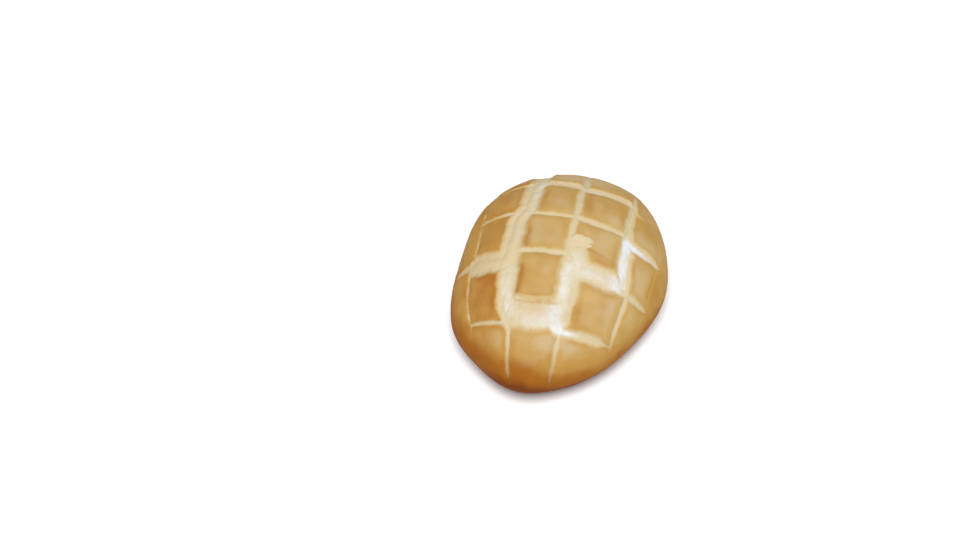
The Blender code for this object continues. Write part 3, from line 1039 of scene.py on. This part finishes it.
def strength_at(place):
    """How pale the crumb is: less low down in front, to the left, on the flanks, and at spots.
    What each of them leaves is multiplied."""
    less = (
        rise(-place.y, FRONT_DULL) * rise(place.turn, FRONT_LOW),
        rise(-place.x, LEFT_CRUMB_SHADE),
        rise(place.turn, FLANK_DULL),
        spots_at(place, DULL_SPOTS),
    )
    return np.prod([1 - share for share in less], axis=0)


strength = strength_at(grid)
print("weakest crumb:", round(float(strength.min()), 2))

# %% Numbers on the mesh
on_base = len(roll_points) - len(crust_points)
BASE_VALUES = {
    "bake": 0.95,
    "dust_and_sheen": 0.15,
    "toast": 0.0,
    "flour": 0.0,
    "pale": 0.0,
    "strength": 0.0,
    "inside": -20.0,
}
crust_values = {
    "bake": bake,
    "dust_and_sheen": np.clip(dust_and_sheen_at(grid, grid_lattice), 0, 1),
    "toast": np.clip(toast, 0, 1),
    "flour": np.clip(flour_at(grid, grid_lattice), 0, 1),
    "pale": np.clip(grid_lattice.pale + marks_at(grid.x, grid.y)[2], 0, 1),
    "strength": strength,
    "inside": grid_lattice.inside,
}
for name, values in crust_values.items():
    set_attribute(roll_mesh, name, np.concatenate([values, np.full(on_base, BASE_VALUES[name])]))
    print(name, "is on average", round(float(values.mean()), 2))

# %% [markdown]
# ## Building shader groups
# An effect that several finishes use is a node group: a box with named inputs and outputs.
# A few helpers keep the groups short to write.

# %% Helpers for shader nodes
KINDS = {float: "NodeSocketFloat", tuple: "NodeSocketColor", str: "NodeSocketVector"}


def new_group(name, inputs, outputs):
    """A shader node group with named sockets. Inputs give their default values."""
    group = bpy.data.node_groups.new(name, "ShaderNodeTree")
    for label, value in inputs.items():
        kind = KINDS[type(value)]
        socket = group.interface.new_socket(label, in_out="INPUT", socket_type=kind)
        if value != "vector":
            socket.default_value = value
    for label, kind in outputs.items():
        group.interface.new_socket(label, in_out="OUTPUT", socket_type=KINDS[kind])
    given = group.nodes.new("NodeGroupInput").outputs
    result = group.nodes.new("NodeGroupOutput").inputs
    return group, Bench(group), given, result


class Bench:
    """A workbench for one node tree: makes nodes, sets their values and joins them."""

    def __init__(self, tree):
        self.tree = tree

    def node(self, kind, **sockets):
        """A node of a kind, with its input sockets set or joined."""
        made = self.tree.nodes.new("ShaderNode" + kind)
        for label, value in sockets.items():
            self.join(value, made.inputs[label])
        return made

    def join(self, value, socket):
        """Joins an output to a socket, or sets the socket's own value."""
        if isinstance(value, bpy.types.NodeSocket):
            self.tree.links.new(value, socket)
        else:
            socket.default_value = value

    def math(self, operation, first, second=0.0, third=0.0):
        """The result of a sum, product or other operation."""
        made = self.tree.nodes.new("ShaderNodeMath")
        made.operation = operation
        for socket, value in zip(made.inputs, (first, second, third)):
            self.join(value, socket)
        return made.outputs[0]

    def between(self, value, low, high, new_low=0.0, new_high=1.0):
        """Eases a value from low to high into the new range."""
        made = self.tree.nodes.new("ShaderNodeMapRange")
        made.interpolation_type = "SMOOTHSTEP"
        for label, number in zip(
            ("Value", "From Min", "From Max", "To Min", "To Max"),
            (value, low, high, new_low, new_high),
        ):
            self.join(number, made.inputs[label])
        return made.outputs["Result"]

    def mix(self, share, first, second):
        """Blends two colours by a share."""
        made = self.tree.nodes.new("ShaderNodeMix")
        made.data_type = "RGBA"
        self.join(share, made.inputs["Factor"])
        colour_a, colour_b = [socket for socket in made.inputs if socket.type == "RGBA"]
        self.join(first, colour_a)
        self.join(second, colour_b)
        return next(socket for socket in made.outputs if socket.type == "RGBA")

    def noise(self, vector, size, detail, roughness):
        """Cloud noise with bumps of a size in metres, about zero."""
        made = self.node("TexNoise", Vector=vector, Scale=1 / size, Detail=detail)
        made.inputs["Roughness"].default_value = roughness
        return self.math("SUBTRACT", made.outputs["Fac"], 0.5)

    def attribute(self, name):
        """A number that the mesh carries."""
        made = self.tree.nodes.new("ShaderNodeAttribute")
        made.attribute_name = name
        return made.outputs["Fac"]


def colour(red, green, blue):
    """A colour as screens give it, 0 to 255, turned into the light that it stands for."""
    parts = np.array([red, green, blue]) / 255
    light = np.where(parts <= 0.04045, parts / 12.92, ((parts + 0.055) / 1.055) ** 2.4)
    return (*light, 1.0)


print("golden crust as light:", [round(float(part), 2) for part in colour(202, 166, 104)])

# %% [markdown]
# ## Frayed edges
# Seen closely, the border between brown skin and pale crumb isn't a clean line. Noise is
# added where the border is, and nowhere else.

# %% Group: frayed edge
FRAY_NOISE = (1.0 * MM, 5.0, 0.6)  # size, detail and roughness
FRAY_STRENGTH = 10.0
FRAY_RANGE = (0.06, 0.94)  # the shares that are drawn apart to 0 and 1


def frayed_edge_group():
    """The share, plus noise times share times one less share, so that 0 and 1 stay put. Then
    the middle shares are drawn apart, which leaves flecks on both sides of the border."""
    inputs = {"Vector": "vector", "Share": 0.0, "Fray": 1.0}
    group, bench, given, result = new_group("frayed_edge", inputs, {"Mask": float})
    share = given["Share"]
    on_border = bench.math("MULTIPLY", share, bench.math("SUBTRACT", 1.0, share))
    fray = bench.math("MULTIPLY", on_border, given["Fray"])
    fray = bench.math("MULTIPLY", fray, FRAY_STRENGTH)
    noise = bench.noise(given["Vector"], *FRAY_NOISE)
    mask = bench.math("MULTIPLY_ADD", noise, fray, share)
    bench.join(bench.between(mask, *FRAY_RANGE), result["Mask"])
    return group


frayed_edge = frayed_edge_group()
print("group:", frayed_edge.name)

# %% [markdown]
# ## Baked skin
# Crust goes from straw through gold to caramel and brown as it bakes, and never evenly: it is
# mottled in soft patches, with small darker freckles. Flour dust lies on it like a bloom, in
# grains that are thick in one patch and thin in the next. The bloom also paints a soft sheen
# on the tops of the tiles.

# %% Group: baked skin
SKIN_PATCHES = (8 * MM, 4.0, 0.55)  # each noise has a size, a detail and a roughness
SKIN_FRECKLES = (1.0 * MM, 4.0, 0.65)
POWDER_GRAINS = (0.45 * MM, 3.0, 0.7)
BAKE_PATCHINESS = 0.35
TO_GOLD = (0.05, 0.42)  # the bake numbers over which a colour turns into the next
TO_CARAMEL = (0.40, 0.80)
TO_BROWN = (0.74, 1.28)
FRECKLE_RANGE = (0.08, 0.24)  # the heights of the noise over which a freckle darkens
FRECKLE_SHARE = 0.25
GRAININESS = 2.2  # how much the powder changes with its grains
POWDER_PATCHINESS = 0.8
POWDER_RANGE = (0.0, 1.2)
FRECKLE_HEIGHT = 1.5  # share of the freckles' noise in the skin's bump


def baked_skin_group():
    """Four colours in a row, picked by the bake number plus patchy noise. Toast and freckles
    take it towards caramel, and dust, which also paints a soft sheen, in grains and patches,
    towards the bloom's colour. The height is the freckles' noise plus the grains."""
    inputs = {
        "Vector": "vector",
        "Bake": 0.5,
        "Dust": 0.0,
        "Toast": 0.0,
        "Straw": colour(185, 158, 102),
        "Gold": colour(174, 133, 66),
        "Caramel": colour(150, 92, 26),
        "Brown": colour(112, 54, 10),
        "Bloom_and_sheen": colour(186, 161, 122),
    }
    outputs = {"Color": tuple, "Height": float}
    group, bench, given, result = new_group("baked_skin", inputs, outputs)
    patches = bench.noise(given["Vector"], *SKIN_PATCHES)
    baked = bench.math("MULTIPLY_ADD", patches, BAKE_PATCHINESS, given["Bake"])
    skin = bench.mix(bench.between(baked, *TO_GOLD), given["Straw"], given["Gold"])
    skin = bench.mix(bench.between(baked, *TO_CARAMEL), skin, given["Caramel"])
    skin = bench.mix(bench.between(baked, *TO_BROWN), skin, given["Brown"])
    fine = bench.noise(given["Vector"], *SKIN_FRECKLES)
    freckles = bench.math("MULTIPLY", bench.between(fine, *FRECKLE_RANGE), FRECKLE_SHARE)
    browned = bench.math("MAXIMUM", freckles, given["Toast"])
    skin = bench.mix(browned, skin, given["Caramel"])
    grains = bench.noise(given["Vector"], *POWDER_GRAINS)
    powder = bench.math("MULTIPLY_ADD", grains, GRAININESS, given["Dust"])
    powder = bench.math("MULTIPLY_ADD", patches, POWDER_PATCHINESS, powder)
    lying = bench.math("MULTIPLY", bench.between(powder, *POWDER_RANGE), given["Dust"])
    bench.join(bench.mix(lying, skin, given["Bloom_and_sheen"]), result["Color"])
    height = bench.math("MULTIPLY_ADD", fine, FRECKLE_HEIGHT, grains)
    bench.join(height, result["Height"])
    return group


baked_skin = baked_skin_group()
print("group:", baked_skin.name)

# %% [markdown]
# ## Pale crumb
# At the border of a gap the dough has dried to cream. Further in it is paler, and white where
# flour lies. It is matt all over, and full of small pores.

# %% Group: pale crumb
CRUMB_CLOUDS = (1.8 * MM, 6.0, 0.7)  # size, detail and roughness
CLOUDY_BORDER = 2.5  # how much the clouds move the border of cream and ivory
TO_IVORY = (-1.0, 1.8)  # mm inside the gap, over which cream turns into ivory
CLOUDY_FLOUR = 0.6
TO_WHITE = (0.05, 0.95)  # the flour numbers over which ivory turns into white
PORE_CELL = 1.3 * MM
PORE_RANGE = (0.0, 0.35)  # in cells, from the middle of a pore to its edge
PORE_BUMP = (-0.35, 0.0)  # the height there


def pale_crumb_group():
    """Cream to ivory by the distance inside the gap, then to white by the flour, both with
    noise added. The height is the same noise, lower in a pore in each cell."""
    inputs = {
        "Vector": "vector",
        "Inside": 0.0,
        "Flour": 0.0,
        "Cream": colour(190, 164, 118),
        "Ivory": colour(197, 181, 145),
        "White": colour(212, 213, 214),
    }
    outputs = {"Color": tuple, "Height": float}
    group, bench, given, result = new_group("pale_crumb", inputs, outputs)
    cloud = bench.noise(given["Vector"], *CRUMB_CLOUDS)
    further = bench.math("MULTIPLY_ADD", cloud, CLOUDY_BORDER, given["Inside"])
    crumb = bench.mix(bench.between(further, *TO_IVORY), given["Cream"], given["Ivory"])
    dusting = bench.math("MULTIPLY_ADD", cloud, CLOUDY_FLOUR, given["Flour"])
    crumb = bench.mix(bench.between(dusting, *TO_WHITE), crumb, given["White"])
    cells = bench.node("TexVoronoi", Vector=given["Vector"], Scale=1 / PORE_CELL, Randomness=1.0)
    cells.feature = "SMOOTH_F1"
    pores = bench.between(cells.outputs["Distance"], *PORE_RANGE, *PORE_BUMP)
    bench.join(crumb, result["Color"])
    bench.join(bench.math("ADD", cloud, pores), result["Height"])
    return group


pale_crumb = pale_crumb_group()
print("group:", pale_crumb.name)

# %% [markdown]
# ## One material for skin and crumb
# Skin and crumb share a material, so that they can meet in a frayed border and not along the
# edges of faces. The pale number that the mesh carries picks one of them point by point. Both
# are matt and let a little light in. A bump adds the relief that is finer than the mesh.

# %% The bread's material
FRAY = 0.4
SKIN_ROUGHNESS, CRUMB_ROUGHNESS = 0.6, 0.9
CRUMB_HEIGHT = 2.2  # the crumb's share of the bump
BUMP_STRENGTH = 0.5
BUMP_HEIGHT = 0.16 * MM
BREAD_VALUES = {
    "Specular IOR Level": 0.03,
    "Subsurface Weight": 0.1,
    "Subsurface Radius": (1.0, 0.6, 0.3),
    "Subsurface Scale": 1.2 * MM,
}


def place_group(bench, group, **sockets):
    """Puts a shader group into a tree and sets or joins its inputs."""
    made = bench.tree.nodes.new("ShaderNodeGroup")
    made.node_tree = group
    for label, value in sockets.items():
        bench.join(value, made.inputs[label])
    return made.outputs


def new_material(name):
    """An empty material: the material, its bench and its Principled shader."""
    material = bpy.data.materials.new(name)
    material.use_nodes = True
    return material, Bench(material.node_tree), material.node_tree.nodes["Principled BSDF"]


def set_values(shader, values):
    """Sets sockets of a shader to what is the same all over."""
    for label, value in values.items():
        shader.inputs[label].default_value = value


def bread_material(name, **crumb_colours):
    """Skin and crumb, divided by the frayed edge of the pale number."""
    material, bench, shader = new_material(name)
    place = bench.node("TexCoord").outputs["Object"]
    share = bench.attribute("pale")
    border = place_group(bench, frayed_edge, Vector=place, Share=share, Fray=FRAY)["Mask"]
    pale = bench.math("MULTIPLY", border, bench.attribute("strength"))
    skin = place_group(
        bench,
        baked_skin,
        Vector=place,
        Bake=bench.attribute("bake"),
        Dust=bench.attribute("dust_and_sheen"),
        Toast=bench.attribute("toast"),
    )
    crumb = place_group(
        bench,
        pale_crumb,
        Vector=place,
        Inside=bench.attribute("inside"),
        Flour=bench.attribute("flour"),
        **crumb_colours,
    )
    bench.join(bench.mix(pale, skin["Color"], crumb["Color"]), shader.inputs["Base Color"])
    roughness = bench.between(pale, 0.0, 1.0, SKIN_ROUGHNESS, CRUMB_ROUGHNESS)
    bench.join(roughness, shader.inputs["Roughness"])
    crumb_height = bench.math("MULTIPLY", crumb["Height"], pale)
    height = bench.math("MULTIPLY_ADD", crumb_height, CRUMB_HEIGHT, skin["Height"])
    bump = bench.node("Bump", Strength=BUMP_STRENGTH, Distance=BUMP_HEIGHT, Height=height)
    bench.join(bump.outputs["Normal"], shader.inputs["Normal"])
    set_values(shader, BREAD_VALUES)
    return material


roll = add_piece("roll_crust", roll_mesh, bread_material("baked_crust"))
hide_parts("turtle_roll")
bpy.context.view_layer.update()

# %% [markdown]
# ## A shred of torn dough
# At one crossing a tongue of dough stretched over the gap and tore off at a ragged end. It
# is a thin piece of its own: its top follows the crust a millimetre up, its rim dips under
# the surface, and a lower sheet closes it.

# %% The shred's outline
SHRED_START = 3.6  # mm on the chart, where it grows out of the crumb
SHRED_END = 17.0
SHRED_MIDDLE = -3.4
SHRED_BOW = 1.3  # mm that it bows to the side
SHRED_BOW_TURN = 2.6  # radians of a sine that it follows
SHRED_HALF_WIDTH = 3.9
SHRED_BLUNTNESS = 5
SHRED_COLUMNS, SHRED_ROWS = 90, 56
RAGGED_SIDES = 0.10  # share by which its sides are uneven
RAGGED_END = 0.08
SIDE_BUMPS, SIDE_LANE = 9, (5, 0)  # bumps along a side, and where the random numbers are read
END_BUMPS, END_LANE = 5, (0, 3)


def bumps_along(share, count, lane):
    """Layered bumps along a straight lane through the random numbers."""
    sides = [np.full_like(share, side) for side in lane]
    places = np.stack([share * count, *sides], axis=-1).reshape(-1, 3)
    return layered_bumps(places, 1.0).reshape(share.shape)


def shred_sheets():
    """Shares from start to end and from edge to edge, and the chart places there. The middle
    bows like a sine. The width narrows to the end by the square root of what remains. The
    end is ragged: each row has a length of its own."""
    along, across = np.meshgrid(np.linspace(0, 1, SHRED_COLUMNS), np.linspace(-1, 1, SHRED_ROWS))
    ragged = 1 + RAGGED_END * bumps_along(across, END_BUMPS, END_LANE)
    x = SHRED_START + (SHRED_END - SHRED_START) * along * ragged
    middle = SHRED_MIDDLE + SHRED_BOW * np.sin(along * SHRED_BOW_TURN)
    narrowing = np.sqrt(np.clip(1 - along**SHRED_BLUNTNESS, 0, 1))
    uneven = 1 + RAGGED_SIDES * bumps_along(along, SIDE_BUMPS, SIDE_LANE)
    return along, across, x, middle + SHRED_HALF_WIDTH * narrowing * uneven * across


shred_along, shred_across, shred_x, shred_y = [sheet.ravel() for sheet in shred_sheets()]
print("shred, in mm on the chart:", round(float(np.ptp(shred_x)), 1), "long")


# %% The shred's surfaces
SHRED_HEIGHT = 0.9  # mm
SHRED_SUNK = 0.5  # mm that its rim lies below the crust
SHRED_UNDER = 0.05  # mm further below, for the lower sheet
END_STEEPNESS = 2.2  # how much steeper its ends rise than its sides, by shares
ROUND_SHARE = 0.4  # share of the way in, over which the rim is rounded
LOW_SHARE = 0.25  # of the height, for the side that lies flat
FLAT_SIDE, FLAT_EASE = -1.1, 1.5  # from where to where, by shares of the half width
ROOT_SHARE = 0.45  # share of the length, over which it rises from the crumb
SHRED_LUMPS = Bumps(0, 0.20, 600, 2.2, 3)
SHRED_FIBRES = 31.5
SHRED_FIBRE_HEIGHT = 0.14
TEXTURE_START = 0.2  # share of the way in, at which lumps and fibres are at their highest


def shred_height(along, across, from_rim):
    """Its share of the height: rounded at the rim like a quarter circle, lower at one side and
    towards its root."""
    raised = ease((across - FLAT_SIDE) / FLAT_EASE) * ease(along / ROOT_SHARE)
    rounded = ease(np.sqrt(np.clip(from_rim / ROUND_SHARE, 0, 1)))
    return (LOW_SHARE + (1 - LOW_SHARE) * raised) * rounded


shred_place = place_on_bun(shred_x, shred_y)
from_end = np.minimum(shred_along, 1 - shred_along) * END_STEEPNESS
from_rim = np.minimum(1 - np.abs(shred_across), from_end)
texture = SHRED_FIBRE_HEIGHT * fibres(shred_place.x, shred_place.y, SHRED_FIBRES)
texture = (texture + bumps_on(shred_place, SHRED_LUMPS)) * ease(from_rim / TEXTURE_START)
rim_height = crust_height(shred_place, lattice_at(shred_x, shred_y)) - SHRED_SUNK
above_rim = (SHRED_HEIGHT + SHRED_SUNK) * shred_height(shred_along, shred_across, from_rim)
shred_top = lifted(shred_place, rim_height + above_rim + texture)
shred_under = lifted(shred_place, rim_height - SHRED_UNDER)
print("shred points:", len(shred_top))


# %% The shred's mesh
def closed_sheet(name, top, under, shape):
    """A closed mesh of two sheets of points: the lower one borrows the upper one's rim."""
    upper = np.arange(len(top)).reshape(shape)
    lower = upper.copy()
    inner = np.zeros(shape, bool)
    inner[1:-1, 1:-1] = True
    lower[inner] = len(top) + np.arange(inner.sum())
    points = np.concatenate([top, under.reshape(*shape, 3)[inner]])
    return mesh_from(name, points, sheet_faces(upper), sheet_faces(lower)[:, ::-1]), inner


# Thin and toasted at the rim, and paler and floury further in, by shares of the way in.
RIM_TOAST = Rise(0.5, 0, 1 / 8)
SHRED_FLOUR = Rise(0.25, 0, 1 / 4)
SHRED_PALE = Rise(1, -1 / 30, 1 / 9)
RIM_INSIDE = 0.6  # mm that its rim counts as inside a gap
SHRED_INSIDE = Rise(2.6, 0, 0.4)

shred_shape = (SHRED_ROWS, SHRED_COLUMNS)
shred_mesh, shred_inner = closed_sheet("dough_shred", shred_top, shred_under, shred_shape)
shred_values = {
    "bake": bake_at(shred_place),
    "dust_and_sheen": np.zeros(len(shred_top)),
    "toast": RIM_TOAST.amount - rise(from_rim, RIM_TOAST),
    "flour": rise(from_rim, SHRED_FLOUR),
    "pale": rise(from_rim, SHRED_PALE),
    "strength": np.ones(len(shred_top)),
    "inside": RIM_INSIDE + rise(from_rim, SHRED_INSIDE),
}
for name, values in shred_values.items():
    inner_values = values.reshape(shred_shape)[shred_inner]
    set_attribute(shred_mesh, name, np.concatenate([values, inner_values]))
shred_colours = {"Cream": colour(190, 162, 112), "Ivory": colour(197, 178, 136)}
add_piece("dough_shred", shred_mesh, bread_material("torn_dough", **shred_colours))
print("shred faces:", len(shred_mesh.polygons))

# %% [markdown]
# ## Floor, light and camera
# A pale floor, one large soft light high up and a white surrounding light give the even look
# of a product photograph. The light stands over the camera, so that the shadow falls behind
# the roll and the flanks grow darker towards the outline.

# %% Floor and surrounding light
FLOOR_SIDE = 6.0  # m
FLOOR_VALUES = {"Base Color": (0.95, 0.95, 0.95, 1), "Roughness": 0.9, "Specular IOR Level": 0.1}
WHITE = (1, 1, 1, 1)
SURROUNDING_LIGHT = 0.48


def flat_square(name, side):
    """A square in the floor's plane."""
    corners = np.array([(-1, -1, 0), (1, -1, 0), (1, 1, 0), (-1, 1, 0)]) * side / 2
    return mesh_from(name, corners, np.array([[0, 1, 2, 3]]))


floor_material, _, floor_shader = new_material("pale_floor")
set_values(floor_shader, FLOOR_VALUES)
floor = bpy.data.objects.new("floor", flat_square("floor", FLOOR_SIDE))
floor.data.materials.append(floor_material)
bpy.context.scene.collection.objects.link(floor)

world = bpy.data.worlds.new("studio")
world.use_nodes = True
background = world.node_tree.nodes["Background"]
set_values(background, {"Color": WHITE, "Strength": SURROUNDING_LIGHT})
bpy.context.scene.world = world
bpy.context.scene.view_settings.view_transform = "Standard"
print("floor side, in m:", FLOOR_SIDE)

# %% Softbox and camera
CAMERA_DISTANCE = 0.700  # m
CAMERA_AZIMUTH = math.radians(24.7)
CAMERA_ELEVATION = math.radians(54.2)
LENS = 53.8  # mm
CLIP_START = 0.05  # m
TARGET_PIXEL = (557.1, 284.4)  # where the middle of the waist lies in the photograph
PICTURE = (960, 540)
LIGHT_DISTANCE = 2.4  # m
LIGHT_ELEVATION = math.radians(68)
SOFTBOX_SIDE = 0.9  # m
SOFTBOX_POWER = 56.0  # W


def direction(azimuth, elevation):
    """From the roll towards a place: the azimuth turns from the front to the right."""
    level = math.cos(elevation)
    return Vector((math.sin(azimuth) * level, -math.cos(azimuth) * level, math.sin(elevation)))


def stand(name, data, place, target):
    """An object at a place, that looks at a target."""
    holder = bpy.data.objects.new(name, data)
    holder.location = place
    holder.rotation_mode = "QUATERNION"
    holder.rotation_quaternion = (place - target).to_track_quat("Z", "Y")
    bpy.context.scene.collection.objects.link(holder)
    return holder


waist = Vector((0, 0, WAIST_HEIGHT))
softbox = bpy.data.lights.new("softbox", "AREA")
softbox.size = SOFTBOX_SIDE
softbox.energy = SOFTBOX_POWER
light_place = waist + LIGHT_DISTANCE * direction(CAMERA_AZIMUTH, LIGHT_ELEVATION)
stand("softbox", softbox, light_place, waist)

camera_data = bpy.data.cameras.new("camera")
camera_data.lens = LENS
camera_data.shift_x = (PICTURE[0] / 2 - TARGET_PIXEL[0]) / PICTURE[0]
camera_data.shift_y = (TARGET_PIXEL[1] - PICTURE[1] / 2) / PICTURE[0]
camera_data.clip_start = CLIP_START
camera_place = waist + CAMERA_DISTANCE * direction(CAMERA_AZIMUTH, CAMERA_ELEVATION)
bpy.context.scene.camera = stand("camera", camera_data, camera_place, waist)
print("camera at, in m:", [round(number, 3) for number in camera_place])
